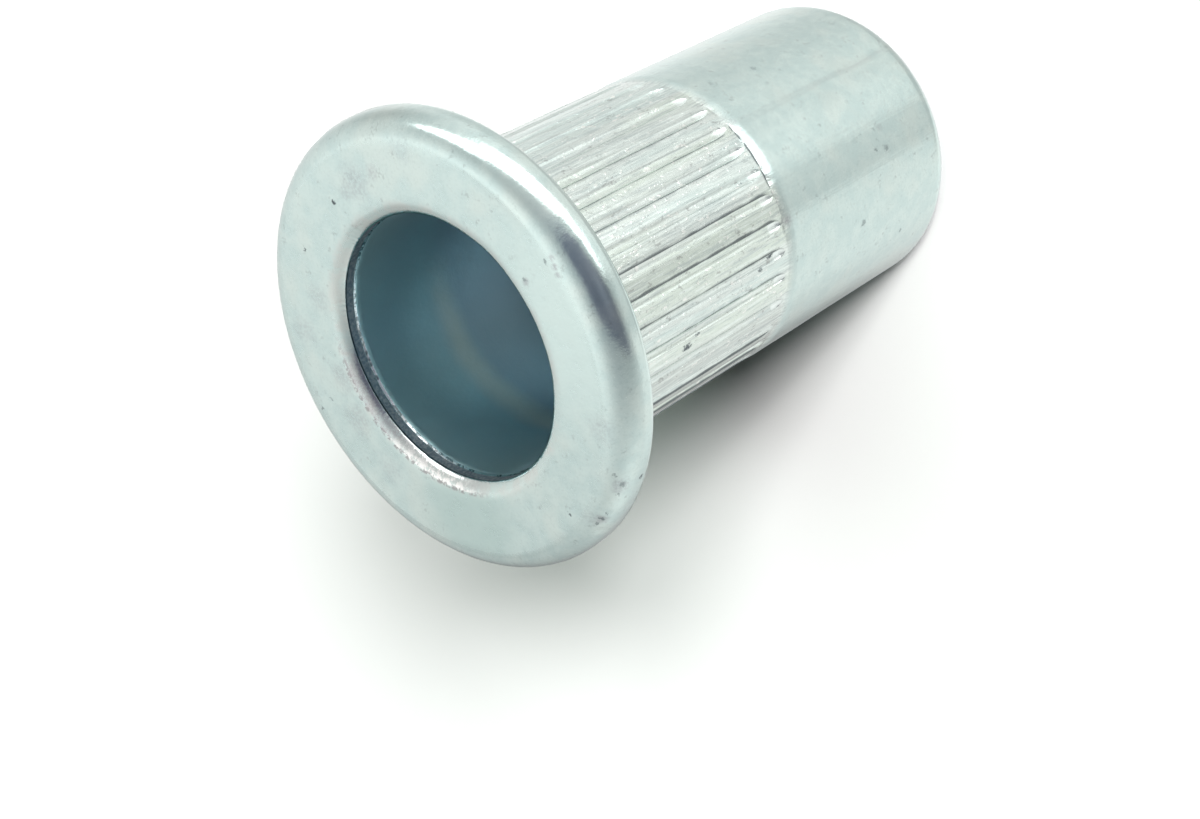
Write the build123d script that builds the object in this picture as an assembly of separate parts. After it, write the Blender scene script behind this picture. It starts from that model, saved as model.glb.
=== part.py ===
from build123d import *
import os
from math import radians, tan

# Flat-head knurled rivet nut, one cold-formed steel piece, millimetres.
# +Z is up. The part stands on its open threaded end (z = 0) with the face
# of the flange at the top (z = LENGTH). The origin is the middle of that end.
# Depths named D_... are measured down from the face of the flange.

# overall
LENGTH = 22.2            # end face to flange face
FLANGE_D = 15.9          # flange outside diameter
FLANGE_T = 1.6           # flange thickness
RIM_FRONT_R = 0.85       # rounding of the rim towards the face, radial
RIM_FRONT_Z = 0.95       # rounding of the rim towards the face, axial
RIM_BACK = 0.40          # rounding of the rim towards the underside

# outside of the body
SHANK_D = 11.0           # smooth shank
KNURL_D = 10.9           # lands of the knurled sleeve
D_KNURL_END = 11.7       # where the knurl stops
D_SHOULDER_END = 12.25   # where the shoulder has reached the shank
NECK_FILLET = 0.20       # under the flange
END_ROUND = 1.00         # outside edge of the open end

# straight knurl, pressed channels
KNURL_N = 36             # grooves around
KNURL_PHASE = 2.2        # angle of the first groove from +X
GROOVE_DEPTH = 0.08
GROOVE_W = 0.40          # width at the lands
GROOVE_FLOOR = 0.20      # width of the flat floor
GROOVE_RAMP = 0.70       # length over which a groove runs out
GROOVE_STEEP = 0.30      # last, steeper stretch of that

# counterbore and thread
MOUTH_R = 5.10           # inner edge of the flat face
LIP_Z = 0.30             # depth of the rounded lip at the mouth
LIP_R = 4.62             # sharp inner edge where the rounding ends
STEP_WALL_R = 4.64       # short straight wall below the lip
D_STEP = 0.70            # depth of the small step in the wall
STEP = 0.04              # size of that step
BORE_R = STEP_WALL_R - STEP  # counterbore wall
D_BORE_END = 11.60       # bottom of the counterbore wall
THREAD_MAJOR_R = 4.0     # M8 x 1.25
THREAD_MINOR_R = 3.324   # wall left for the thread
SEAT_ANGLE = 45.0        # cone between counterbore and thread, from the axis
END_CHAMFER_R = 4.05     # mouth of the thread chamfer on the end face

L = LENGTH
RF = FLANGE_D / 2
RK = KNURL_D / 2
RS = SHANK_D / 2


def z(depth):
    """Height of a depth below the flange face."""
    return L - depth


# ---------------------------------------------------------------- section
seat_z = (BORE_R - THREAD_MINOR_R) / tan(radians(SEAT_ANGLE))
end_ch = END_CHAMFER_R - THREAD_MINOR_R

with BuildPart() as nut:
    with BuildSketch(Plane.XZ) as section:
        with BuildLine() as outline:
            # flange face, from the lip out to the rounded rim
            Line((MOUTH_R, L), (RF - RIM_FRONT_R, L))
            # rim: a quarter ellipse, a short land, a quarter circle
            EllipticalCenterArc((RF - RIM_FRONT_R, z(RIM_FRONT_Z)),
                                RIM_FRONT_R, RIM_FRONT_Z,
                                start_angle=0, arc_size=90)
            Line((RF, z(RIM_FRONT_Z)), (RF, z(FLANGE_T - RIM_BACK)))
            RadiusArc((RF, z(FLANGE_T - RIM_BACK)),
                      (RF - RIM_BACK, z(FLANGE_T)), RIM_BACK)
            # underside of the flange and the fillet into the neck
            Line((RF - RIM_BACK, z(FLANGE_T)), (RK + NECK_FILLET, z(FLANGE_T)))
            RadiusArc((RK + NECK_FILLET, z(FLANGE_T)),
                      (RK, z(FLANGE_T + NECK_FILLET)), -NECK_FILLET)
            # knurled sleeve, shoulder, smooth shank, rounded end
            Line((RK, z(FLANGE_T + NECK_FILLET)), (RK, z(D_KNURL_END)))
            Line((RK, z(D_KNURL_END)), (RS, z(D_SHOULDER_END)))
            Line((RS, z(D_SHOULDER_END)), (RS, END_ROUND))
            RadiusArc((RS, END_ROUND), (RS - END_ROUND, 0), END_ROUND)
            # end face, thread chamfer, thread wall, seat cone, counterbore
            Line((RS - END_ROUND, 0), (END_CHAMFER_R, 0))
            Line((END_CHAMFER_R, 0), (THREAD_MINOR_R, end_ch))
            Line((THREAD_MINOR_R, end_ch), (THREAD_MINOR_R, z(D_BORE_END + seat_z)))
            Line((THREAD_MINOR_R, z(D_BORE_END + seat_z)), (BORE_R, z(D_BORE_END)))
            Line((BORE_R, z(D_BORE_END)), (BORE_R, z(D_STEP + STEP)))
            Line((BORE_R, z(D_STEP + STEP)), (STEP_WALL_R, z(D_STEP)))
            Line((STEP_WALL_R, z(D_STEP)), (STEP_WALL_R, z(LIP_Z + 0.03)))
            Line((STEP_WALL_R, z(LIP_Z + 0.03)), (LIP_R, z(LIP_Z)))
            # rounded lip at the mouth, leaving the face smoothly
            TangentArc((MOUTH_R, L), (LIP_R, z(LIP_Z)), tangent=(-1, 0))
        make_face()
    revolve(axis=Axis.Z)

# ---------------------------------------------------------------- knurl
# One groove is a shallow channel along the sleeve, with a flat floor and
# sloping sides. Its lower end rises to the surface, so each groove runs out
# in a short boat-shaped facet just above the shoulder.
OVER = 0.05                                   # how far the tool stands proud
side_slope = (GROOVE_W - GROOVE_FLOOR) / 2 / GROOVE_DEPTH
z_top = z(FLANGE_T + NECK_FILLET + 0.05)
z_ramp = z(D_KNURL_END - GROOVE_RAMP - 0.05)
z_steep = z(D_KNURL_END - GROOVE_STEEP - 0.05)
z_out = z(D_KNURL_END - 0.05)


def channel(depth, height):
    """Section of the tool with its floor at a depth under the lands."""
    narrow = max(depth / GROOVE_DEPTH, 0.02) ** 0.5
    root = RK - depth
    crest = RK + OVER
    low = GROOVE_FLOOR / 2 * narrow
    high = low + (crest - root) * side_slope
    return Plane.XY.offset(height) * Polygon(
        (root, -low), (root, low), (crest, high), (crest, -high), align=None)


straight = extrude(channel(GROOVE_DEPTH, z_ramp), amount=z_top - z_ramp,
                   dir=(0, 0, 1))
ramp = loft([channel(GROOVE_DEPTH, z_ramp),
             channel(0.7 * GROOVE_DEPTH, z_steep)], ruled=True)
tip = loft([channel(0.7 * GROOVE_DEPTH, z_steep), channel(-0.01, z_out)],
           ruled=True)
groove = straight + ramp + tip
grooves = [Rot(0, 0, KNURL_PHASE + 360.0 * i / KNURL_N) * groove
           for i in range(KNURL_N)]

body = nut.part - Compound(children=grooves)
solids = body.solids()
rivet_nut = solids[0] if len(solids) == 1 else body

os.makedirs("parts", exist_ok=True)
rivet_nut.label = "rivet_nut"
export_step(rivet_nut, "parts/rivet_nut.step")

b = rivet_nut.bounding_box()
print("solids", len(solids), "volume mm3", round(rivet_nut.volume, 3),
      "mass g", round(rivet_nut.volume * 7.85e-3, 3))
print("box", b.min, b.max)
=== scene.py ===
import math

import bpy
import numpy as np
from mathutils import Matrix, Vector


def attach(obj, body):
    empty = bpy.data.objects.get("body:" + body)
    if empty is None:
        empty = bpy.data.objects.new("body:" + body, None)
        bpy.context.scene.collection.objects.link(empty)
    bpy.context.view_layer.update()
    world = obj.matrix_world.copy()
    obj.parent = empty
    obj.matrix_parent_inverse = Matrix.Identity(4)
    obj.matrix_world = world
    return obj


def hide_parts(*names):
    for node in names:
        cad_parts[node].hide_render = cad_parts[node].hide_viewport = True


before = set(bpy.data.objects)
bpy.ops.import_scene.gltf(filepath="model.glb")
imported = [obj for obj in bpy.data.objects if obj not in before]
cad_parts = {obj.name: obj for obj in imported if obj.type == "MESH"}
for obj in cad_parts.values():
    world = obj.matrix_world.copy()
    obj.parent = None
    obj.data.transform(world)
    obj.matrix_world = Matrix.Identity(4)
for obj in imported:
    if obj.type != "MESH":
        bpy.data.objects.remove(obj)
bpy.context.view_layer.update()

# ------------------------------------------------------------------ section
# Millimetres, z up, z = 0 at the open threaded end, z = L at the flange face.
L = 22.2
RF = 7.95                # flange
FLANGE_T = 1.6
RIM_A, RIM_B = 0.85, 0.95
RIM_BACK = 0.40
RK = 5.45                # lands of the knurl
RS = 5.50                # smooth shank
NECK = 0.20
D_KNURL_END = 11.70
D_SHOULDER_END = 12.25
END_ROUND = 1.00
MOUTH_R = 5.10
LIP_Z = 0.30
LIP_WALL_R = 4.62        # sharp inner edge of the lip
STEP_WALL_R = 4.64
D_STEP = 0.70
STEP = 0.04
BORE_R = STEP_WALL_R - STEP
D_BORE_END = 11.60
MINOR_R, MAJOR_R, PITCH = 3.324, 4.0, 1.25
END_CHAMFER_R = 4.05
KNURL_N = 36
KNURL_PHASE = 2.2        # degrees
GROOVE_DEPTH = 0.08
GROOVE_HALF = math.degrees(0.20 / RK)    # half width of a groove at the lands, degrees
# the mouth was punched a little off the axis of the flange
MOUTH_SHIFT = np.array([0.096, -0.261])

NF, NM, NC = 576, 288, 144   # columns: outside of the head and knurl, shank and bore, thread

rng = np.random.default_rng(20260)


def smooth(x, a, b):
    t = np.clip((np.asarray(x, float) - a) / (b - a), 0.0, 1.0)
    return t * t * (3 - 2 * t)


class Waves:
    """Smooth seeded noise, periodic round the axis, about -1..1."""

    def __init__(self, lo, hi, zlen, n=24):
        self.k = rng.integers(lo, hi + 1, n).astype(float)
        self.p = rng.uniform(0, 2 * np.pi, n)
        self.q = rng.normal(0, 1.0 / zlen, n)
        self.a = rng.uniform(0.5, 1.0, n)
        self.a /= math.sqrt((self.a ** 2).sum() / 2) * 1.6

    def __call__(self, phi, z=0.0):
        phi = np.asarray(phi, float)[..., None]
        z = np.asarray(z, float)[..., None]
        return (self.a * np.sin(self.k * phi + self.p + 2 * np.pi * self.q * z)).sum(-1)


def uniform(n):
    return np.arange(n) * 2 * np.pi / n


def circle(r, z, phi, shift=0.0):
    r = np.broadcast_to(np.asarray(r, float), phi.shape)
    z = np.broadcast_to(np.asarray(z, float), phi.shape)
    return np.stack([r * np.cos(phi) + MOUTH_SHIFT[0] * shift,
                     r * np.sin(phi) + MOUTH_SHIFT[1] * shift, z], 1)


verts, faces, shade_highlight_rings = [], [], []
count = 0


# each point also carries a value for the knurl: painted shade above 0, painted highlight below 0
def add_ring(p, shade_highlight=None):
    """Stores one closed ring of points and returns its indices."""
    global count
    verts.append(p)
    shade_highlight_rings.append(np.zeros(len(p)) if shade_highlight is None else shade_highlight)
    idx = np.arange(count, count + len(p))
    count += len(p)
    return idx


def bridge(a, b):
    """Joins two rings, of the same number of columns or one twice the other."""
    na, nb = len(a), len(b)
    if na == nb:
        a1, b1 = np.roll(a, -1), np.roll(b, -1)
        faces.extend(zip(a.tolist(), b.tolist(), b1.tolist(), a1.tolist()))
        return
    fine, coarse, flip = (a, b, False) if na > nb else (b, a, True)
    assert len(fine) == 2 * len(coarse)
    n = len(coarse)
    for j in range(n):
        c0, c1 = int(coarse[j]), int(coarse[(j + 1) % n])
        f0, f1, f2 = int(fine[2 * j]), int(fine[2 * j + 1]), int(fine[(2 * j + 2) % (2 * n)])
        for t in ((f0, c0, f1), (f1, c0, c1), (f1, c1, f2)):
            faces.append(t[::-1] if flip else t)


# ------------------------------------------------------------------- head
flat = Waves(2, 9, 6.0)
lip_edge = Waves(20, 150, 6.0, 60)
lip_low = Waves(3, 14, 6.0)
rim_wave = Waves(3, 12, 4.0)

phi_f = uniform(NF)
loop = []                # ring indices in order along the section


def put(p, shade_highlight=None):
    idx = add_ring(p, shade_highlight)
    if loop:
        bridge(loop[-1], idx)
    loop.append(idx)
    return idx


# inner edge of the face, slightly ragged where the metal turned over the lip
edge_r = MOUTH_R - 0.03 + 0.03 * lip_low(phi_f) + 0.004 * lip_edge(phi_f)
for r, s in ((None, 1.0), (5.22, 0.95), (5.40, 0.80), (5.70, 0.52), (6.05, 0.28),
             (6.45, 0.08), (6.85, 0.0), (RF - RIM_A - 0.03, 0.0)):
    rr = edge_r if r is None else r
    dip = np.maximum(0.0015 * (1 + flat(phi_f, 0 if r is None else r)), 0.0) + (0.004 if r is None else 0.0)
    put(circle(rr, L - dip, phi_f, s))

# rounded rim: quarter ellipse, short land, small quarter circle
rim_pts = []
for t in (0, 5, 11, 17, 23, 29, 35, 41, 47, 53, 59, 65, 71, 77, 84, 90):
    t = math.radians(t)
    rim_pts.append((RF - RIM_A + RIM_A * math.sin(t), L - RIM_B * (1 - math.cos(t)),
                    math.sin(t) / RIM_A, math.cos(t) / RIM_B))
rim_pts.append((RF, L - (FLANGE_T - RIM_BACK), 1.0, 0.0))
for t in (15, 30, 45, 60, 75, 90):
    t = math.radians(t)
    rim_pts.append((RF - RIM_BACK + RIM_BACK * math.cos(t),
                    L - (FLANGE_T - RIM_BACK) - RIM_BACK * math.sin(t),
                    math.cos(t), -math.sin(t)))
# small dents and pits in the rim: angle (deg), depth below the face, size, how deep
DENTS = [(-125.0, 0.24, 0.13, 0.030), (-126.8, 0.19, 0.09, 0.022), (-122.6, 0.30, 0.10, 0.020),
         (-112.5, 0.39, 0.14, 0.020), (-118.5, 0.41, 0.16, 0.014), (-111.5, 0.14, 0.11, 0.012),
         (-108.0, 0.52, 0.12, 0.014), (-129.5, 0.38, 0.18, 0.012), (-116.0, 0.62, 0.20, 0.010),
         (-103.0, 0.60, 0.12, 0.010), (-120.5, 0.95, 0.16, 0.014), (-54.0, 0.50, 0.22, 0.005),
         (-20.0, 0.45, 0.20, 0.006), (35.0, 0.60, 0.22, 0.008), (72.0, 0.30, 0.16, 0.010),
         (96.0, 0.80, 0.20, 0.012), (151.0, 0.55, 0.18, 0.012), (171.0, 0.95, 0.22, 0.010),
         (120.0, 1.10, 0.20, 0.014), (8.0, 0.98, 0.20, 0.010), (-163.0, 0.60, 0.15, 0.010)]
for r, z, nr, nz in rim_pts:
    n = math.hypot(nr, nz)
    nr, nz = nr / n, nz / n
    d = np.maximum(0.003 * (1 + rim_wave(phi_f, z)), 0.0)
    for a, zz, size, deep in DENTS:
        da = (np.degrees(phi_f) - a + 180) % 360 - 180
        arc = np.radians(da) * r
        d = d + deep * np.exp(-(arc ** 2 + (L - z - zz) ** 2) / size ** 2)
    put(circle(r - d * nr, z - d * nz, phi_f))

# underside and neck
for r in (7.10, 6.50, 6.05, RK + NECK):
    put(circle(r, L - FLANGE_T, phi_f))
for t in (25, 50, 75):
    t = math.radians(t)
    put(circle(RK + NECK - NECK * math.sin(t),
               L - FLANGE_T - NECK * (1 - math.cos(t)), phi_f))

# ------------------------------------------------------------------ knurl
g_off = rng.uniform(-0.38, 0.38, KNURL_N)          # degrees
g_drift = rng.uniform(-0.35, 0.35, KNURL_N)        # degrees over the length
g_deep = rng.uniform(0.82, 1.08, KNURL_N)
g_end = D_KNURL_END - 0.05 + rng.uniform(-0.07, 0.05, KNURL_N)
g_ramp = 0.70 + rng.uniform(-0.10, 0.12, KNURL_N)
g_burr = rng.uniform(0.2, 1.0, (KNURL_N, 2))
g_rag = rng.uniform(0.3, 1.0, KNURL_N)
g_wide = rng.uniform(0.9, 1.1, KNURL_N)
land_tilt = rng.uniform(-0.006, 0.006, KNURL_N)
# each groove has a fold of metal along one edge, darkened with painted shade: its side, place and strength
fold_side = rng.choice([-1, 1], KNURL_N)
fold_at = rng.uniform(0.9, 1.15, KNURL_N)
fold_deep = rng.uniform(0.3, 0.9, KNURL_N)
for i, off, side, at, deep in ((0, -1.4, -1, 0.9, 0.10), (35, -0.9, -1, 0.9, 0.10), (34, -1.0, -1, 0.9, 0.12),
                               (33, -0.5, -1, 0.95, 0.55), (32, -0.2, -1, 0.95, 0.55), (31, 0.2, -1, 0.9, 0.55),
                               (30, 0.5, -1, 0.9, 0.25), (29, 0.5, 1, 0.9, 1.0), (28, 0.3, 1, 1.05, 1.0),
                               (27, 0.1, 1, 1.1, 0.6), (26, 0.4, 1, 1.0, 0.6), (25, -0.5, 1, 1.0, 0.25),
                               (24, -3.0, -1, 1.0, 1.1), (23, -2.0, -1, 1.0, 1.1)):
    g_off[i], fold_side[i], fold_at[i], fold_deep[i] = off, side, at, deep
    g_drift[i] *= 0.4
g_deep[23], g_deep[24] = 1.7, 1.3
fold_deep[1:5] = 0.12
# how strongly a painted highlight whitens the run-out of each groove
g_runout_highlight = np.full(KNURL_N, 0.35)
for i, k in ((34, 0.6), (33, 0.6), (32, 0.6), (31, 0.6), (30, 0.6), (29, 0.6), (28, 0.8), (27, 1.0), (26, 1.0),
             (25, 0.7)):
    g_runout_highlight[i] = k
land_crown = rng.uniform(0.006, 0.014, KNURL_N)
deep_wave = [Waves(1, 3, 5.0, 8) for _ in range(KNURL_N)]
burr_wave = Waves(30, 120, 1.2, 60)
fold_wave = [Waves(1, 3, 1.6, 14) for _ in range(KNURL_N)]
land_wave = Waves(60, 260, 9.0, 70)
long_wave = Waves(4, 20, 6.0, 24)
rag_wave = Waves(80, 280, 0.35, 60)

depths = [1.80, 1.87, 1.96, 2.10]
depths += list(np.arange(2.40, 10.75, 0.29))
depths += [10.90, 11.00, 11.10, 11.19, 11.27, 11.35, 11.42, 11.49, 11.55, 11.61, 11.66, 11.72]


def knurl_ring(d):
    z = L - d
    phi = np.zeros(NF)
    rad = np.zeros(NF)
    shade_highlight = np.zeros(NF)
    centre = np.zeros(KNURL_N + 1)
    for i in range(KNURL_N):
        centre[i] = KNURL_PHASE + 10.0 * i + g_off[i] + g_drift[i] * (d - 6.5) / 10
    centre[KNURL_N] = centre[0] + 360.0
    for i in range(KNURL_N):
        h = GROOVE_DEPTH * g_deep[i] * (1 + 0.07 * float(deep_wave[i](0.0, d)))
        start = g_end[i] - g_ramp[i]
        t = (d - start) / g_ramp[i]
        if t > 0:
            t = min(t, 1.0)
            h *= (1 - 0.30 * t / 0.57) if t < 0.57 else 0.70 * (1 - (t - 0.57) / 0.43)
        h *= float(smooth(d, 1.78, 1.98))
        h = max(h, 0.0)
        w = max(GROOVE_HALF * g_wide[i] * min(math.sqrt(h / GROOVE_DEPTH), 1.1), 0.16)
        prev = centre[i - 1] if i else centre[KNURL_N - 1] - 360.0
        half_l = (centre[i] - prev) / 2
        half_r = (centre[i + 1] - centre[i]) / 2
        offs, rads = [], []
        live = min(h / 0.05, 1.0)
        crease = fold_deep[i] * min(max(0.85 + 0.30 * float(fold_wave[i](0.0, d)), 0.0), 1.2)
        crease *= float(smooth(d, 11.75, 11.0))
        # painted highlight on the run-out of the groove
        lens = g_runout_highlight[i] * float(smooth(d, 10.93, 11.12)) * float(smooth(d, 11.66, 11.56))
        for side, half in ((-1, half_l), (1, half_r)):
            col_o, col_r, col_shade_highlight = [], [], []
            mine = side == fold_side[i]
            for u in (0.40, 0.72, 0.90):
                # the last one stays clear of the fold, also where the depth is nil
                fall = min(u, fold_at[i] - 0.04) if mine else u
                col_o.append(side * w * fall)
                col_r.append(RK - h * (1 - u ** 2.6))
                col_shade_highlight.append(0.45 * crease if mine and u > 0.8 else -lens)
            j = 0 if side < 0 else 1
            b = 0.012 * g_burr[i][j] * (0.6 + 0.5 * float(burr_wave(math.radians(centre[i] + side * w), d)))
            # the fold is a fine crack between the flank and the burr; painted shade darkens it, and a thin painted
            # shade outlines the run-out highlight
            edge = w * (fold_at[i] if mine else 1.0)
            col_o.append(side * edge)
            col_r.append(RK - 0.020 * crease * live if mine else RK + live * b)
            col_shade_highlight.append(max(crease, 0.24 * lens) if mine else 0.34 * lens * g_burr[i][j])
            near = edge + 0.34 if mine else w + 0.14 * (half - w)
            for v, a in ((0.14, near), (0.42, w + 0.42 * (half - w)), (0.72, w + 0.72 * (half - w))):
                col_o.append(side * a)
                col_shade_highlight.append(0.5 * crease if v == 0.14 and mine else 0.0)
                if v == 0.14 and mine:
                    col_r.append(RK + live * (b + 0.006))
                    continue
                li = i if side > 0 else (i - 1) % KNURL_N
                pos = v / 2 if side > 0 else 1 - v / 2     # 0..1 across the land
                crown = land_crown[li] * (4 * pos * (1 - pos) - 0.55)
                tilt = land_tilt[li] * (pos - 0.5)
                col_r.append(RK + live * (crown + tilt))
            if side < 0:
                offs, rads, shade_highlight_cols = col_o[::-1], col_r[::-1], col_shade_highlight[::-1]
            else:
                offs.append(0.0)
                rads.append(RK - h)
                shade_highlight_cols.append(-lens)
                offs += col_o
                rads += col_r
                shade_highlight_cols += col_shade_highlight
        # the middle of the land after this groove
        offs.append(half_r)
        rads.append(RK + live * land_crown[i] * 0.45)
        shade_highlight_cols.append(0.0)
        k = 16 * i
        # columns k-7 .. k+8 belong to groove i
        cols = (np.arange(k - 7, k + 9)) % NF
        phi[cols] = np.radians(centre[i] + np.array(offs))
        rad[cols] = rads
        shade_highlight[cols] = shade_highlight_cols
    rad = rad + 0.0018 * land_wave(phi, d) + 0.003 * long_wave(phi, d)
    ends = float(smooth(d, 10.7, 11.1)) * float(smooth(d, 11.75, 11.5))
    rad = rad + 0.007 * ends * rag_wave(phi, d) * np.repeat(g_rag, 16)
    return phi, rad, z, shade_highlight


last_phi = None
for d in depths:
    phi, rad, z, shade_highlight = knurl_ring(d)
    put(circle(rad, z, phi), shade_highlight)
    last_phi = phi

# ------------------------------------------------- shoulder and shank
ridge = Waves(12, 90, 3.0, 50)
ridge_low = Waves(3, 12, 3.0, 16)
shank_wave = Waves(2, 9, 7.0, 20)
for d, r, rag in ((11.77, RK - 0.004, 0.012), (11.83, RK + 0.003, 0.010), (11.92, RK + 0.013, 0.005),
                  (12.02, RK + 0.024, 0.003), (12.12, RK + 0.034, 0.002), (12.21, RK + 0.043, 0.0),
                  (12.30, RS - 0.003, 0.0)):
    blend = smooth(d, 11.72, 12.3)
    p = last_phi * (1 - blend) + np.where(last_phi - phi_f > np.pi, phi_f + 2 * np.pi,
                                          np.where(phi_f - last_phi > np.pi, phi_f - 2 * np.pi, phi_f)) * blend
    rr = r + rag * ridge(p, d) + 0.5 * rag * ridge_low(p, d)
    a = (np.degrees(p) + 180) % 360 - 180
    # painted shade: a dark ragged line where the knurl ends, along one stretch of the shoulder
    shoulder_shade_line = 0.0
    if d < 11.8:
        shoulder_shade_line = smooth(a, -67, -63) * smooth(a, -36, -40) * np.clip(0.55 + 0.6 * ridge(p, 1.0) + 0.5 * ridge_low(p, 1.0), 0, 1)
    put(circle(rr, L - d - 0.02 * ridge_low(p) * (1 - blend), p), shoulder_shade_line + np.zeros(len(p)))

phi_m = uniform(NM)
for z in (9.80, 9.5, 9.0, 8.3, 7.6, 6.9, 6.2, 5.5, 4.8, 4.1, 3.4, 2.7, 2.1, 1.6, 1.25, END_ROUND):
    w = smooth(z, 9.9, 9.2) * 0.004
    put(circle(RS + w * shank_wave(phi_m, z) - 0.002, z, phi_m))
for t in (7, 15, 23, 31, 39, 47, 55, 63, 71, 79, 85, 90):
    t = math.radians(t)
    w = 0.004 * math.cos(t)
    put(circle(RS - END_ROUND + END_ROUND * math.cos(t) + w * shank_wave(phi_m, END_ROUND) - 0.002,
               END_ROUND * (1 - math.sin(t)), phi_m))
put(circle(4.30, 0.0, phi_m))
phi_c = uniform(NC)
bottom = put(circle(END_CHAMFER_R, 0.0, phi_c))

# ----------------------------------------------------------------- thread
# Rows follow the helix: each column is one pitch/NC higher than the last, and
# rows outside the hole's length collapse on to its first or last ring.
seat_z0 = L - (D_BORE_END + (BORE_R - MINOR_R))
z_lo, z_hi = 0.0, seat_z0 + (END_CHAMFER_R - MINOR_R)
top = add_ring(circle(END_CHAMFER_R, z_hi, phi_c))
q = PITCH / 4
fl = (MAJOR_R - MINOR_R) * math.tan(math.radians(30))
brk = [(0.0, MINOR_R), (q / 2, MINOR_R), (q, MINOR_R), (q + fl / 3, MINOR_R + (MAJOR_R - MINOR_R) / 3),
       (q + 2 * fl / 3, MINOR_R + 2 * (MAJOR_R - MINOR_R) / 3), (q + fl, MAJOR_R), (q + fl + PITCH / 8, MAJOR_R),
       (q + fl + PITCH / 8 + fl / 3, MINOR_R + 2 * (MAJOR_R - MINOR_R) / 3),
       (q + fl + PITCH / 8 + 2 * fl / 3, MINOR_R + (MAJOR_R - MINOR_R) / 3)]
M = len(brk)
turns = int(math.ceil((z_hi - z_lo) / PITCH)) + 2
rows = []
for kturn in range(-1, turns):
    for b, r in brk:
        rows.append((kturn * PITCH + b, r))
grid = np.full((len(rows) + M, NC), -1, int)
extra, ei = [], count
thread_wave = Waves(3, 20, 2.0, 16)
for qi in range(len(rows)):
    for j in range(NC):
        z = rows[qi][0] + PITCH * j / NC
        if z <= z_lo + 0.02:
            grid[qi, j] = bottom[j]
        elif z >= z_hi - 0.02:
            grid[qi, j] = top[j]
        else:
            base = max(END_CHAMFER_R - z, MINOR_R + (z - seat_z0), MINOR_R)
            # the thread runs out into the cone above it
            r = MINOR_R + (rows[qi][1] - MINOR_R)
            extra.append((max(base, r), z, phi_c[j]))
            grid[qi, j] = ei
            ei += 1
ex = np.array(extra)
verts.append(np.stack([ex[:, 0] * np.cos(ex[:, 2]), ex[:, 0] * np.sin(ex[:, 2]), ex[:, 1]], 1))
shade_highlight_rings.append(np.zeros(len(ex)))
count = ei
for qi in range(len(rows) - 1):
    for j in range(NC):
        if j < NC - 1:
            c = [grid[qi, j], grid[qi + 1, j], grid[qi + 1, j + 1], grid[qi, j + 1]]
        else:
            if qi + M + 1 >= len(rows):
                c = [grid[qi, j], grid[qi + 1, j], top[0], top[0]]
            else:
                c = [grid[qi, j], grid[qi + 1, j], grid[qi + M + 1, 0], grid[qi + M, 0]]
        out = []
        for v in c:
            v = int(v)
            if v not in out:
                out.append(v)
        if len(out) >= 3:
            faces.append(tuple(out))
# ------------------------------------------------------- cone, bore, lip
loop = [top]
bore_wave = Waves(2, 8, 5.0, 16)
for z, r in ((seat_z0 + (4.30 - MINOR_R), 4.30), (L - D_BORE_END - 0.04, BORE_R - 0.05),
             (L - D_BORE_END + 0.04, BORE_R)):
    put(circle(r, z, phi_c))
for d in (11.2, 10.2, 9.0, 7.8):
    put(circle(BORE_R + 0.003 * bore_wave(phi_c, d), L - d, phi_c))
for d in (6.8, 5.8, 4.8, 3.9, 3.1, 2.4, 1.8):
    s = float(smooth(d, 6.0, 1.5))
    put(circle(BORE_R + 0.003 * bore_wave(phi_m, d), L - d, phi_m, s))
step_wave = Waves(3, 40, 3.0, 30)
for d, r, k in ((1.30, BORE_R, 1), (0.95, BORE_R + 0.002, 1), (D_STEP + STEP, BORE_R + 0.008, 1),
                (D_STEP, STEP_WALL_R, 1), (D_STEP - 0.04, STEP_WALL_R + 0.004, 1),
                (0.52, STEP_WALL_R + 0.014, 0.5), (0.40, STEP_WALL_R + 0.022, 0.3), (0.35, STEP_WALL_R + 0.022, 0.2)):
    put(circle(r + (0.004 * step_wave(phi_f, d) if k == 1 else 0.0), L - d - 0.012 * k * step_wave(phi_f), phi_f, 1.0))
# rounded lip, from its sharp inner edge out to the face
lip_burr = Waves(40, 180, 3.0, 60)
lip_mod = np.clip(0.5 + 0.9 * Waves(5, 30, 3.0, 30)(phi_f), 0.05, 1.3)
inner_r = LIP_WALL_R + 0.003 * lip_mod * lip_burr(phi_f) + 0.008 * lip_low(phi_f)
put(circle(inner_r, L - LIP_Z - 0.008 * lip_mod * lip_burr(phi_f), phi_f, 1.0))
SWEEP = math.radians(56)
for k in (0.97, 0.86, 0.74, 0.60, 0.46, 0.32, 0.20, 0.09):
    t = SWEEP * k
    x = math.sin(t) / math.sin(SWEEP)
    y = (1 - math.cos(t)) / (1 - math.cos(SWEEP))
    rough_r = 0.0022 * lip_mod * lip_burr(phi_f, 3 * k) * math.sin(math.pi * k)
    put(circle(edge_r - (edge_r - inner_r) * x + rough_r,
               L - 0.008 - (LIP_Z - 0.02) * y + 0.5 * rough_r, phi_f, 1.0))
bridge(loop[-1], np.arange(0, NF))

v = np.concatenate(verts) * 0.001
mesh = bpy.data.meshes.new("rivet_nut_body")
mesh.from_pydata(v.tolist(), [], faces)
mesh.validate(verbose=False)
mesh.update()
mesh.shade_smooth()
mesh.set_sharp_from_angle(angle=math.radians(42))
# painted shade and highlight values, as a point attribute that the material reads
attr = mesh.attributes.new("shade_highlight", "FLOAT", "POINT")
attr.data.foreach_set("value", np.concatenate(shade_highlight_rings).astype(np.float32))
nut = bpy.data.objects.new("rivet_nut_body", mesh)
bpy.context.scene.collection.objects.link(nut)
tris = sum(len(p.vertices) - 2 for p in mesh.polygons)
print("vertices", len(mesh.vertices), "triangles", tris)


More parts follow.
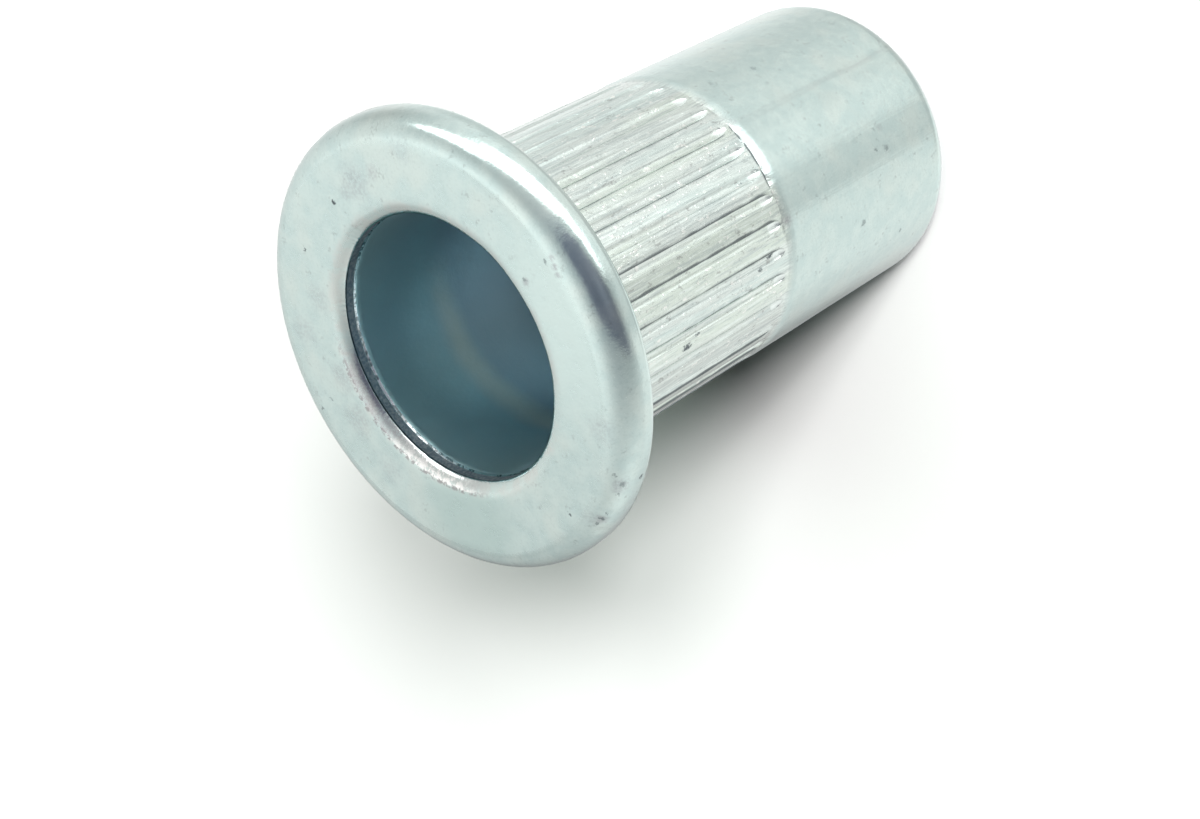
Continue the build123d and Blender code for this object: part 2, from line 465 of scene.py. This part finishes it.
# --------------------------------------------------------- node helpers
class Graph:
    def __init__(self, tree):
        self.t = tree
        self.n = tree.nodes
        self.l = tree.links

    def _in(self, socket, value):
        if value is None:
            return
        if isinstance(value, bpy.types.NodeSocket):
            self.l.new(value, socket)
        elif isinstance(value, (tuple, list, Vector)):
            socket.default_value = tuple(value)[: len(socket.default_value)]
        else:
            socket.default_value = value

    def node(self, kind, **props):
        n = self.n.new(kind)
        for k, val in props.items():
            setattr(n, k, val)
        return n

    def math(self, op, a, b=None, c=None, clamp=False):
        n = self.node("ShaderNodeMath", operation=op, use_clamp=clamp)
        for i, x in enumerate((a, b, c)):
            self._in(n.inputs[i], x)
        return n.outputs[0]

    def vec(self, op, a, b=None, scale=None, out=0):
        n = self.node("ShaderNodeVectorMath", operation=op)
        self._in(n.inputs[0], a)
        if b is not None:
            self._in(n.inputs[1], b)
        if scale is not None:
            self._in(n.inputs["Scale"], scale)
        return n.outputs[out]

    def dot(self, a, b):
        return self.vec("DOT_PRODUCT", a, b, out="Value")

    def ramp(self, x, a, b, lo=0.0, hi=1.0):
        n = self.node("ShaderNodeMapRange", interpolation_type="SMOOTHSTEP", clamp=True)
        self._in(n.inputs["Value"], x)
        n.inputs["From Min"].default_value = a
        n.inputs["From Max"].default_value = b
        n.inputs["To Min"].default_value = lo
        n.inputs["To Max"].default_value = hi
        if a > b:                                # falling ramp
            n.inputs["From Min"].default_value = b
            n.inputs["From Max"].default_value = a
            n.inputs["To Min"].default_value = hi
            n.inputs["To Max"].default_value = lo
        return n.outputs["Result"]

    def mix(self, f, a, b):
        n = self.node("ShaderNodeMix", data_type="RGBA", clamp_factor=True)
        self._in(n.inputs[0], f)
        for s, x in ((n.inputs[6], a), (n.inputs[7], b)):
            if isinstance(x, (tuple, list)):
                x = tuple(x) + (1.0,) if len(x) == 3 else x
            self._in(s, x)
        return n.outputs[2]

    def noise(self, v, scale, detail=2.0, rough=0.5):
        n = self.node("ShaderNodeTexNoise")
        self._in(n.inputs["Vector"], v)
        n.inputs["Scale"].default_value = scale
        n.inputs["Detail"].default_value = detail
        n.inputs["Roughness"].default_value = rough
        return n.outputs[0]

    def bump(self, height, dist, normal=None, strength=1.0):
        n = self.node("ShaderNodeBump")
        n.inputs["Strength"].default_value = strength
        n.inputs["Distance"].default_value = dist
        self._in(n.inputs["Height"], height)
        self._in(n.inputs["Normal"], normal)
        return n.outputs[0]


# ---------------------------------------------------- zinc-plated steel
mat = bpy.data.materials.new("zinc_plate")
mat.use_nodes = True
g = Graph(mat.node_tree)
g.n.clear()
out = g.node("ShaderNodeOutputMaterial")
bsdf = g.node("ShaderNodeBsdfPrincipled")
g.l.new(bsdf.outputs[0], out.inputs[0])
tc = g.node("ShaderNodeTexCoord")
P = g.vec("SCALE", tc.outputs["Object"], scale=1000.0)      # millimetres
sep = g.node("ShaderNodeSeparateXYZ")
g.l.new(P, sep.inputs[0])
X, Y, Z = sep.outputs
R = g.math("SQRT", g.math("ADD", g.math("MULTIPLY", X, X), g.math("MULTIPLY", Y, Y)))
along = g.vec("MULTIPLY", P, (1.0, 1.0, 0.045))              # stretched along the axis

is_face = g.math("MULTIPLY", g.ramp(Z, 22.10, 22.18), g.ramp(R, 7.35, 7.0))
is_bore = g.math("MULTIPLY", g.ramp(R, 5.05, 4.95), g.ramp(Z, 21.45, 21.41))
is_body = g.math("MULTIPLY", g.ramp(Z, 20.7, 20.4), g.ramp(R, 5.05, 5.2))
is_knurl = g.math("MULTIPLY", is_body, g.ramp(Z, 10.0, 10.5))
shade_highlight = g.node("ShaderNodeAttribute", attribute_name="shade_highlight").outputs["Fac"]

n_big = g.noise(P, 0.40, 2.0, 0.62)
n_mid = g.noise(P, 1.7, 3.0, 0.62)
n_fine = g.noise(P, 9.0, 2.0, 0.65)
n_streak = g.noise(along, 6.5, 2.0, 0.6)
n_scratch = g.noise(g.vec("MULTIPLY", P, (1.0, 1.0, 0.10)), 16.0, 1.0, 0.6)
n_fleck = g.noise(g.vec("MULTIPLY", P, (1.0, 1.0, 0.45)), 5.5, 2.0, 0.7)
n_spot = g.noise(g.vec("ADD", P, (13.1, 7.7, 3.3)), 2.3, 2.0, 0.6)

# stains in the passivated zinc
col = g.mix(g.ramp(n_mid, 0.34, 0.68), (0.600, 0.734, 0.708), (0.662, 0.786, 0.750))
col = g.mix(g.math("MULTIPLY", g.ramp(n_big, 0.50, 0.68), 0.45), col, (0.715, 0.795, 0.742))
n_tint = g.noise(g.vec("MULTIPLY", P, (1.0, 1.0, 0.06)), 1.05, 1.0, 0.55)
film = g.mix(g.ramp(n_tint, 0.36, 0.50), (0.708, 0.818, 0.782), (0.745, 0.806, 0.770))
film = g.mix(g.ramp(n_tint, 0.47, 0.62), film, (0.748, 0.834, 0.748))
film = g.mix(g.math("MULTIPLY", g.ramp(n_streak, 0.45, 0.62), 0.5), film, (0.775, 0.835, 0.782))
hair = g.noise(g.vec("MULTIPLY", P, (1.0, 1.0, 0.05)), 11.0, 2.0, 0.7)
film = g.mix(g.ramp(hair, 0.53, 0.62, 0.0, 0.75), film, (0.88, 0.97, 0.92))
film = g.mix(g.ramp(hair, 0.46, 0.38, 0.0, 0.60), film, (0.53, 0.60, 0.59))
col = g.mix(g.math("MULTIPLY", is_knurl, 0.90), col, film)
glint = g.math("MULTIPLY", g.ramp(n_fleck, 0.59, 0.66), g.ramp(n_spot, 0.46, 0.58))
col = g.mix(g.math("MULTIPLY", is_knurl, g.math("MULTIPLY", glint, 0.85)), col, (0.96, 0.98, 0.93))
gouge = g.math("MULTIPLY", g.ramp(n_fleck, 0.40, 0.34), g.ramp(n_spot, 0.50, 0.57))
col = g.mix(g.math("MULTIPLY", is_knurl, g.math("MULTIPLY", gouge, 0.55)), col, (0.36, 0.37, 0.36))
col = g.mix(g.math("MULTIPLY", g.ramp(n_fine, 0.50, 0.75), 0.22), col, (0.47, 0.56, 0.53))
stain = g.math("MULTIPLY", g.ramp(n_spot, 0.60, 0.72), g.ramp(n_fine, 0.40, 0.62))
col = g.mix(g.math("MULTIPLY", stain, 0.35), col, (0.34, 0.38, 0.37))
pale = g.ramp(g.vec("DISTANCE", P, (2.4, -6.8, 22.2), out="Value"), 5.2, 1.0)
col = g.mix(g.math("MULTIPLY", is_face, g.math("MULTIPLY", pale, 0.80)), col, (0.710, 0.850, 0.812))
dull = g.ramp(g.vec("DISTANCE", P, (-5.9, -0.5, 22.2), out="Value"), 2.9, 0.8)
col = g.mix(g.math("MULTIPLY", is_face, g.math("MULTIPLY", dull, 0.80)), col, (0.53, 0.67, 0.635))
# brownish burnish round the lip
Ps = g.vec("ADD", P, (-float(MOUTH_SHIFT[0]), -float(MOUTH_SHIFT[1]), 0.0))
seps = g.node("ShaderNodeSeparateXYZ")
g.l.new(Ps, seps.inputs[0])
Rs = g.math("SQRT", g.math("ADD", g.math("MULTIPLY", seps.outputs[0], seps.outputs[0]),
                           g.math("MULTIPLY", seps.outputs[1], seps.outputs[1])))
ring = g.math("MULTIPLY", g.ramp(Rs, 5.25, 4.95), g.ramp(Z, 21.85, 21.95))
col = g.mix(g.math("MULTIPLY", ring, g.ramp(n_mid, 0.40, 0.62, 0.10, 0.45)), col, (0.62, 0.60, 0.57))
# scuffed part of the lip: streaks across it, dirt along its outer border
scuffed = g.ramp(g.math("MULTIPLY_ADD", Y, 0.56, g.math("MULTIPLY", X, -0.83)), 2.7, 4.0)
flake = g.noise(P, 5.0, 2.0, 0.7)
radial = g.vec("SCALE", g.vec("NORMALIZE", g.vec("MULTIPLY", Ps, (1.0, 1.0, 0.0))), scale=4.9)
stria = g.math("ADD", g.math("MULTIPLY", g.noise(radial, 2.6, 3.0, 0.72), 0.5), g.math("MULTIPLY", flake, 0.5))
on_lip = g.math("MULTIPLY", g.ramp(Z, 21.85, 21.95), scuffed)
rubbed = g.math("MULTIPLY", g.ramp(Rs, 5.03, 4.95), on_lip)
white = g.ramp(g.math("MULTIPLY_ADD", Y, 0.26, g.math("MULTIPLY", X, -0.966)), 4.15, 4.65)
dirty = g.math("MULTIPLY", g.ramp(n_fine, 0.42, 0.60, 0.58, 0.30), g.math("MULTIPLY_ADD", white, -0.9, 1.0))
col = g.mix(g.math("MULTIPLY", rubbed, dirty), col, (0.45, 0.42, 0.44))
col = g.mix(g.math("MULTIPLY", g.math("MULTIPLY", rubbed, white), g.ramp(flake, 0.40, 0.56, 0.25, 0.95)), col, (0.99, 0.98, 0.95))
border = g.math("MULTIPLY", g.math("MULTIPLY", g.ramp(Rs, 5.14, 5.04), g.ramp(Rs, 4.90, 4.98)), on_lip)
col = g.mix(g.math("MULTIPLY", border, g.ramp(flake, 0.44, 0.54, 0.70, 0.0)), col, (0.30, 0.27, 0.28))
# soft smudges, then single specks and pits, in millimetres
smudges = None
for x, y, z, r, k in ((5.45, 2.45, 22.2, 0.95, 0.30), (5.10, 2.95, 22.2, 0.42, 0.30), (5.95, 1.55, 22.2, 0.38, 0.35),
                      (3.41, -4.58, 22.2, 0.22, 0.55), (4.39, -5.75, 22.2, 0.20, 0.50), (4.12, -5.84, 22.2, 0.20, 0.65),
                      (3.88, -5.92, 22.2, 0.18, 0.55), (-0.45, 6.35, 22.2, 0.80, 0.22), (-3.4, 4.3, 22.1, 0.9, 0.30),
                      (-2.0, 4.75, 22.1, 0.8, 0.32), (0.9, 5.3, 22.2, 0.7, 0.22), (-5.0, 3.1, 22.2, 0.8, 0.18),
                      (-1.0, -6.9, 22.2, 0.7, 0.22), (-4.45, -6.22, 21.97, 0.34, 0.60), (-3.05, -7.15, 21.85, 0.42, 0.45), (-4.4, -6.0, 22.2, 0.5, 0.22), (6.9, 0.1, 22.2, 0.6, 0.18),
                      (1.18, -5.38, 10.2, 0.34, 0.60), (4.36, -3.35, 10.15, 0.26, 0.40), (2.40, -4.95, 3.9, 0.26, 0.22)):
    d = g.vec("DISTANCE", P, (x, y, z), out="Value")
    d = g.math("MULTIPLY_ADD", g.math("SUBTRACT", n_mid, 0.5), 0.9 * r, d)
    m = g.ramp(d, r, 0.25 * r, 0.0, k)
    smudges = m if smudges is None else g.math("MAXIMUM", smudges, m)
smudges = g.math("MULTIPLY", smudges, g.ramp(n_fine, 0.35, 0.60, 0.35, 1.0))
col = g.mix(smudges, col, (0.40, 0.40, 0.42))
Pk = g.vec("MULTIPLY", P, (1.35, 1.35, 0.75))
specks = None
for x, y, z, r, k in ((4.60, 3.63, 22.2, 0.11, 1.0), (2.63, 5.54, 22.2, 0.06, 0.8), (3.46, -4.55, 22.2, 0.09, 0.5),
                      (4.22, -5.48, 22.2, 0.10, 0.5), (-4.41, -5.15, 22.2, 0.07, 0.8), (-2.9, 5.6, 22.2, 0.06, 0.6),
                      (-1.19, -5.32, 16.0, 0.21, 1.0), (0.30, -5.43, 11.35, 0.17, 1.0), (-0.92, -5.38, 15.5, 0.11, 0.8),
                      (-0.64, -5.42, 11.2, 0.14, 0.9), (0.02, -5.45, 12.0, 0.09, 0.8), (2.90, -4.62, 11.6, 0.13, 0.7),
                      (-4.40, -6.28, 21.96, 0.13, 0.75), (-4.58, -6.07, 22.02, 0.08, 0.6), (-4.18, -6.45, 21.90, 0.07, 0.6),
                      (-2.98, -7.19, 21.81, 0.13, 0.55), (-3.35, -7.00, 21.85, 0.07, 0.5), (-2.60, -7.10, 22.04, 0.08, 0.5),
                      (-2.98, -7.37, 21.15, 0.09, 0.9),
                      (-0.48, -5.48, 5.9, 0.16, 0.5), (1.68, -5.24, 3.9, 0.16, 0.5), (5.16, -1.89, 7.0, 0.12, 0.4),
                      (1.79, -5.20, 4.5, 0.11, 0.5), (-1.79, -5.21, 3.2, 0.09, 0.5), (-5.35, 1.19, 8.2, 0.12, 0.6),
                      (1.89, 5.16, 5.2, 0.14, 0.6), (-3.4, 6.2, 22.2, 0.08, 0.6), (5.9, 3.0, 20.6, 0.15, 0.7)):
    long = 10.5 < z < 20.4
    d = g.vec("DISTANCE", Pk if long else P, (1.35 * x, 1.35 * y, 0.75 * z) if long else (x, y, z), out="Value")
    d = g.math("MULTIPLY_ADD", g.math("SUBTRACT", n_fine, 0.5), 0.40, d)
    m = g.ramp(d, r, 0.35 * r, 0.0, k)
    specks = m if specks is None else g.math("MAXIMUM", specks, m)
col = g.mix(specks, col, (0.16, 0.19, 0.20))
# painted shade darkens the creases of the grooves and the ragged end of the knurl; a painted highlight whitens the
# groove run-outs
crease_shade = g.ramp(shade_highlight, 0.03, 0.48)
lens = g.math("MULTIPLY", g.ramp(shade_highlight, -0.10, -0.80, 0.0, 1.0), is_knurl)
col = g.mix(lens, col, (0.91, 0.99, 0.955))
col = g.mix(g.math("MULTIPLY", crease_shade, 0.85), col, (0.13, 0.15, 0.16))
# faint scratch along the shank
line = g.math("ADD", g.math("MULTIPLY", X, 0.624), g.math("MULTIPLY", Y, 0.7815))
line = g.math("ABSOLUTE", g.math("MULTIPLY_ADD", g.math("SUBTRACT", n_mid, 0.5), 0.16, line))
line = g.math("MULTIPLY", g.ramp(line, 0.24, 0.02), g.ramp(X, 2.0, 3.0))
line = g.math("MULTIPLY", line, g.math("MULTIPLY", g.ramp(Z, 10.0, 9.8), g.ramp(n_streak, 0.40, 0.62, 0.10, 0.22)))
col = g.mix(line, col, (0.36, 0.40, 0.40))
# painted shade: a darker band round the rounded bottom end, where the nut stands on the floor
edge = g.math("MULTIPLY", g.ramp(Z, 0.70, 0.36), g.ramp(Z, 0.02, 0.12))
col = g.mix(g.math("MULTIPLY", edge, g.ramp(n_mid, 0.40, 0.60, 0.35, 0.80)), col, (0.44, 0.44, 0.48))
# mouth wall between the lip and the step: grey, with a painted shadow line just under the lip
is_wall = g.math("MULTIPLY", g.ramp(R, 5.05, 4.95), g.math("MULTIPLY", g.ramp(Z, 21.50, 21.54), g.ramp(Z, 21.90, 21.86)))
wall_with_lip_shadow = g.mix(g.ramp(n_fine, 0.38, 0.62), (0.50, 0.55, 0.60), (0.76, 0.78, 0.80))
wall_with_lip_shadow = g.mix(g.ramp(Z, 21.78, 21.83), wall_with_lip_shadow, (0.16, 0.18, 0.20))
col = g.mix(is_wall, col, wall_with_lip_shadow)
# painted highlight along the edge of the step, broken by darker gaps
step_highlight = g.math("MULTIPLY", g.ramp(R, 5.05, 4.95), g.math("MULTIPLY", g.ramp(Z, 21.41, 21.44), g.ramp(Z, 21.54, 21.50)))
col = g.mix(step_highlight, col, g.mix(g.ramp(flake, 0.43, 0.49), (0.30, 0.36, 0.38), (0.95, 0.97, 0.97)))
# bore: bluish plating, with painted shade that darkens it deeper down
deep = g.mix(g.ramp(Z, 18.6, 16.4), (0.655, 0.888, 0.905), (0.612, 0.752, 0.805))
# painted reflection: a pale arc on the bore wall
arc = g.ramp(g.math("ABSOLUTE", g.math("MULTIPLY_ADD", g.math("SUBTRACT", n_big, 0.5), 0.7, g.math("SUBTRACT", Z, 17.4))), 0.85, 0.05)
deep = g.mix(g.math("MULTIPLY", g.math("MULTIPLY", arc, g.ramp(X, 1.2, -1.8)), 0.85), deep, (0.90, 0.96, 0.88))
# painted reflection: bluer on the -X, -Y side of the bore
deep = g.mix(g.math("MULTIPLY", g.ramp(Y, -1.5, -4.0, 0.0, 0.8), g.ramp(X, 2.0, -1.0)), deep, (0.68, 0.835, 0.955))
# painted reflection: paler on the +X side near the mouth
deep = g.mix(g.math("MULTIPLY", g.ramp(X, 0.5, 3.8, 0.0, 0.8), g.ramp(Z, 17.5, 19.0)), deep, (0.74, 0.93, 0.95))
col = g.mix(is_bore, col, deep)
g.l.new(col, bsdf.inputs["Base Color"])
bsdf.inputs["Metallic"].default_value = 1.0

rough = g.math("ADD", 0.16, g.math("MULTIPLY", is_face, 0.14))
rough = g.math("ADD", rough, g.math("MULTIPLY", is_body, 0.03))
rough = g.math("ADD", rough, g.math("MULTIPLY", g.math("MAXIMUM", is_bore, is_wall), 0.22))
rough = g.math("ADD", rough, g.math("MULTIPLY", g.math("SUBTRACT", n_mid, 0.5), 0.16))
rough = g.math("ADD", rough, g.math("MULTIPLY", g.math("SUBTRACT", n_fine, 0.5), 0.10))
rough = g.math("ADD", rough, g.math("MULTIPLY", g.math("MAXIMUM", specks, crease_shade), 0.3), clamp=True)
g.l.new(rough, bsdf.inputs["Roughness"])

# height in micrometres
hgt = g.math("MULTIPLY", n_mid, g.math("SUBTRACT", 7.0, g.math("MULTIPLY", is_body, 5.3)))
hgt = g.math("MULTIPLY_ADD", n_fine, 3.0, hgt)
hgt = g.math("MULTIPLY_ADD", g.math("MULTIPLY", is_body, n_streak), 6.0, hgt)
rub = g.math("MULTIPLY_ADD", g.ramp(n_scratch, 0.50, 0.66), 0.9, g.math("MULTIPLY", g.ramp(n_fleck, 0.57, 0.66), 3.2))
hgt = g.math("MULTIPLY_ADD", is_knurl, rub, hgt)
hgt = g.math("MULTIPLY_ADD", rubbed, g.math("MULTIPLY", stria, 6.0), hgt)
g.l.new(g.bump(hgt, 0.000001), bsdf.inputs["Normal"])

mesh.materials.append(mat)
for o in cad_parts.values():
    if o.data.materials:
        for i in range(len(o.data.materials)):
            o.data.materials[i] = mat
    else:
        o.data.materials.append(mat)

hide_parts("rivet_nut")
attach(nut, "root")

# --------------------------------------------------------- floor, backdrop
def disc(name, radius, z, n=96, inner=None):
    me = bpy.data.meshes.new(name)
    pts = [(radius * math.cos(a), radius * math.sin(a), z) for a in uniform(n)]
    me.from_pydata(pts, [], [tuple(range(n))])
    me.update()
    ob = bpy.data.objects.new(name, me)
    bpy.context.scene.collection.objects.link(ob)
    return ob


def paper(name, colour):
    m = bpy.data.materials.new(name)
    m.use_nodes = True
    k = Graph(m.node_tree)
    k.n.clear()
    o = k.node("ShaderNodeOutputMaterial")
    b = k.node("ShaderNodeBsdfPrincipled")
    k.l.new(b.outputs[0], o.inputs[0])
    t = k.node("ShaderNodeTexCoord")
    p = k.vec("SCALE", t.outputs["Object"], scale=1000.0)
    n = k.noise(p, 0.25, 4.0, 0.6)
    k.l.new(k.mix(n, colour, tuple(0.985 * c for c in colour)), b.inputs["Base Color"])
    b.inputs["Roughness"].default_value = 0.9
    b.inputs["Specular IOR Level"].default_value = 0.0
    return m


floor = disc("floor", 0.9, 0.0, 128)
floor.data.materials.append(paper("floor_paper", (0.612, 0.618, 0.610)))
floor.visible_glossy = False
# the patch of floor that closes the hole from below, which the bore does reflect
patch = disc("floor_patch", 0.0043, 0.00001, 64)
patch.data.materials.append(paper("floor_patch_paper", (0.55, 0.57, 0.56)))

rings, n = [], 96
prof = [(0.70, -0.002)] + [(0.70 + 0.2 * math.sin(t), 0.2 - 0.2 * math.cos(t) - 0.002)
                           for t in np.radians(np.arange(10, 91, 10))] + [(0.90, 0.6)]
pts = [(r * math.cos(a), r * math.sin(a), z) for r, z in prof for a in uniform(n)]
quads = [(k * n + j, (k + 1) * n + j, (k + 1) * n + (j + 1) % n, k * n + (j + 1) % n)
         for k in range(len(prof) - 1) for j in range(n)]
bm = bpy.data.meshes.new("backdrop")
bm.from_pydata(pts, [], quads)
bm.shade_smooth()
backdrop = bpy.data.objects.new("backdrop", bm)
bpy.context.scene.collection.objects.link(backdrop)
bmat = bpy.data.materials.new("backdrop_paper")
bmat.use_nodes = True
k = Graph(bmat.node_tree)
k.n.clear()
bo = k.node("ShaderNodeOutputMaterial")
be = k.node("ShaderNodeEmission")
be.inputs["Color"].default_value = (1.0, 1.0, 1.0, 1.0)
be.inputs["Strength"].default_value = 1.05
k.l.new(be.outputs[0], bo.inputs[0])
bm.materials.append(bmat)
backdrop.visible_diffuse = False
backdrop.visible_glossy = False
backdrop.visible_shadow = False

# ------------------------------------------------------------ surroundings
# A pale room: soft all-round light, one long window to the right of the
# camera, and a dim corner beside it. Directions are (azimuth, elevation) in
# degrees, azimuth from +X towards +Y.
def aim(az, el):
    a, e = math.radians(az), math.radians(el)
    return (math.cos(e) * math.cos(a), math.cos(e) * math.sin(a), math.sin(e))


world = bpy.data.worlds.new("room")
bpy.context.scene.world = world
world.use_nodes = True
w = Graph(world.node_tree)
w.n.clear()
wo = w.node("ShaderNodeOutputWorld")
bg = w.node("ShaderNodeBackground")
w.l.new(bg.outputs[0], wo.inputs[0])
wt = w.node("ShaderNodeTexCoord")
D = w.vec("NORMALIZE", wt.outputs["Generated"])
wz = w.node("ShaderNodeSeparateXYZ")
w.l.new(D, wz.inputs[0])


def lobes(base, rows):
    total = None
    for az, el, k, amp in rows:
        d = w.dot(D, aim(az, el))
        e = w.math("EXPONENT", w.math("MULTIPLY_ADD", d, k, -k))
        part = w.vec("SCALE", amp, scale=e)
        total = w.vec("ADD", base if total is None else total, part)
    return total


def grey(v, t=(1.0, 1.0, 1.0)):
    return tuple(v * c for c in t)


COOL = (1.0, 0.95, 0.84)      # what the dim corner takes away: least of the blue
upper = lobes(grey(1.25), (
    (-59, 38, 4.0, grey(-0.32, COOL)),
    (-75, -20, 5.0, grey(-0.42)),
    (-107, 26, 1.13, grey(-0.615)),
    (83, 74, 7.5, grey(0.34)),
    (152, -8, 2.6, grey(-0.58)),
    (58, -15, 7.8, grey(-0.48)),
    (-153, 3, 3.4, grey(0.20)),
    (32, 47, 4.0, grey(-0.40)),
    (106, 49, 30.0, grey(0.22)),
    (134, 31, 40.0, grey(-0.20)),
    (138, -32, 12.0, grey(-0.36)),
    (-160, -8, 14.0, grey(0.15)),
    (-70, 1, 45.0, grey(0.19)),
))
azim = w.math("MULTIPLY", w.math("ARCTAN2", wz.outputs[1], wz.outputs[0]), 180.0 / math.pi)
elev = w.math("MULTIPLY", w.math("ARCSINE", wz.outputs[2]), 180.0 / math.pi)


def steps(x, start, rows):
    total = start
    for a, b, dv in rows:
        total = w.math("ADD", w.ramp(x, a, b, 0.0, dv), total)
    return total


def side(x, edge, soft):
    """1 where x is above the edge, 0 below it, with a soft border."""
    return w.ramp(w.math("SUBTRACT", x, edge), -soft, soft)


# dim corner: a dark shape between two upright edges
dl = w.math("MULTIPLY_ADD", elev, 0.20, -94.0)
dr = steps(elev, -76.0, ((-30, -16, 14.0), (-22, 10, 22.0)))
dark = w.math("MULTIPLY", side(azim, dl, 4.0), w.math("SUBTRACT", 1.0, side(azim, dr, 5.0)))
dark = w.math("MULTIPLY", dark, w.math("MULTIPLY", w.ramp(elev, -36, -14), w.ramp(elev, 62, 38)))
shade = w.mix(w.math("MULTIPLY", dark, 0.93), (1.0, 1.0, 1.0), (0.43, 0.43, 0.53))
upper = w.vec("MULTIPLY", upper, shade)
# window: leans from low on the left to high on the right
wl = steps(elev, -61.0, ((-34, -8, 29.0), (-6, 12, 11.0), (12, 26, 24.0), (24, 36, 18.0)))
wr = steps(elev, -27.0, ((-36, -24, 19.0), (-30, -10, 17.0), (1, 16, 32.0), (22, 38, -22.0)))
win = w.math("MULTIPLY", side(azim, wl, 6.0), w.math("SUBTRACT", 1.0, side(azim, wr, 5.0)))
win = w.math("MULTIPLY", win, w.math("MULTIPLY", w.ramp(elev, 38.5, 33.5, 0.0, 2.3), w.ramp(elev, -40, -32, 0.12, 1.0)))
up = w.vec("ADD", upper, w.vec("SCALE", (1.0, 1.0, 1.0), scale=win))
# the table below: grey that changes slowly round the nut
low = steps(azim, 1.05, ((-180, -152, -0.05), (-99, -94, -0.23), (-88, -78, 0.06), (-68, -60, 0.20),
                         (-44, -26, -0.10), (0, 24, -0.11), (24, 44, -0.03), (46, 60, 0.07), (60, 88, 0.19)))
dip = steps(azim, -0.25, ((-180, -152, 0.25), (112, 138, -0.60), (146, 180, 0.35)))
low = w.math("MULTIPLY_ADD", dip, w.ramp(elev, -51, -47.5, 0.50, 1.12), low)
under = w.ramp(elev, -52, -62)
floor_glow = steps(azim, 1.12, ((-134, -104, -0.44), (60, 110, 0.30)))
low = w.math("ADD", w.math("MULTIPLY", low, w.math("SUBTRACT", 1.0, under)), w.math("MULTIPLY", under, floor_glow))
lower = w.vec("SCALE", (1.0, 1.0, 0.995), scale=low)
below = w.ramp(elev, -39, -42)
sky = w.mix(below, up, lower)
sky = w.vec("MAXIMUM", sky, (0.05, 0.05, 0.05))
w.l.new(sky, bg.inputs["Color"])
bg.inputs["Strength"].default_value = 1.0
world.cycles.sampling_method = "NONE"
# the paper is lit by the lamps alone; the room shows only in the metal
world.cycles_visibility.diffuse = False

for name, energy, angle, az, el, tint in (("key", 3.05, 11, -37, 39, (1.0, 0.985, 0.985)),
                                          ("side", 4.75, 12, -46, 29.5, (1.0, 0.985, 0.985)),
                                          ("top", 1.55, 28, -16, 62, (0.86, 1.0, 0.92))):
    lamp = bpy.data.lights.new(name, "SUN")
    lamp.energy = energy
    lamp.angle = math.radians(angle)
    lamp.color = tint
    ob = bpy.data.objects.new(name, lamp)
    bpy.context.scene.collection.objects.link(ob)
    toward = Vector(aim(az, el))
    ob.location = toward * 0.5
    ob.rotation_mode = "QUATERNION"
    ob.rotation_quaternion = toward.to_track_quat("Z", "Y")
    ob.visible_glossy = False

# ----------------------------------------------------------------- camera
cam_data = bpy.data.cameras.new("camera")
cam_data.sensor_width = 36.0
cam_data.sensor_fit = "HORIZONTAL"
cam_data.lens = 60.7519
cam_data.clip_start, cam_data.clip_end = 0.001, 5.0
cam = bpy.data.objects.new("camera", cam_data)
bpy.context.scene.collection.objects.link(cam)
right = Vector((-0.1071097, -0.7559797, -0.6457725)).normalized()
fwd = Vector((-0.4395637, 0.6185909, -0.6512519)).normalized()
up_v = right.cross(fwd).normalized()
rot = Matrix((right, up_v, -fwd)).transposed().to_4x4()
cam.matrix_world = Matrix.Translation((0.0263749, -0.0445099, 0.0617071)) @ rot
bpy.context.scene.camera = cam

vs = bpy.context.scene.view_settings
vs.view_transform = "Standard"
vs.look = "None"
vs.exposure = 0.0
vs.gamma = 1.0
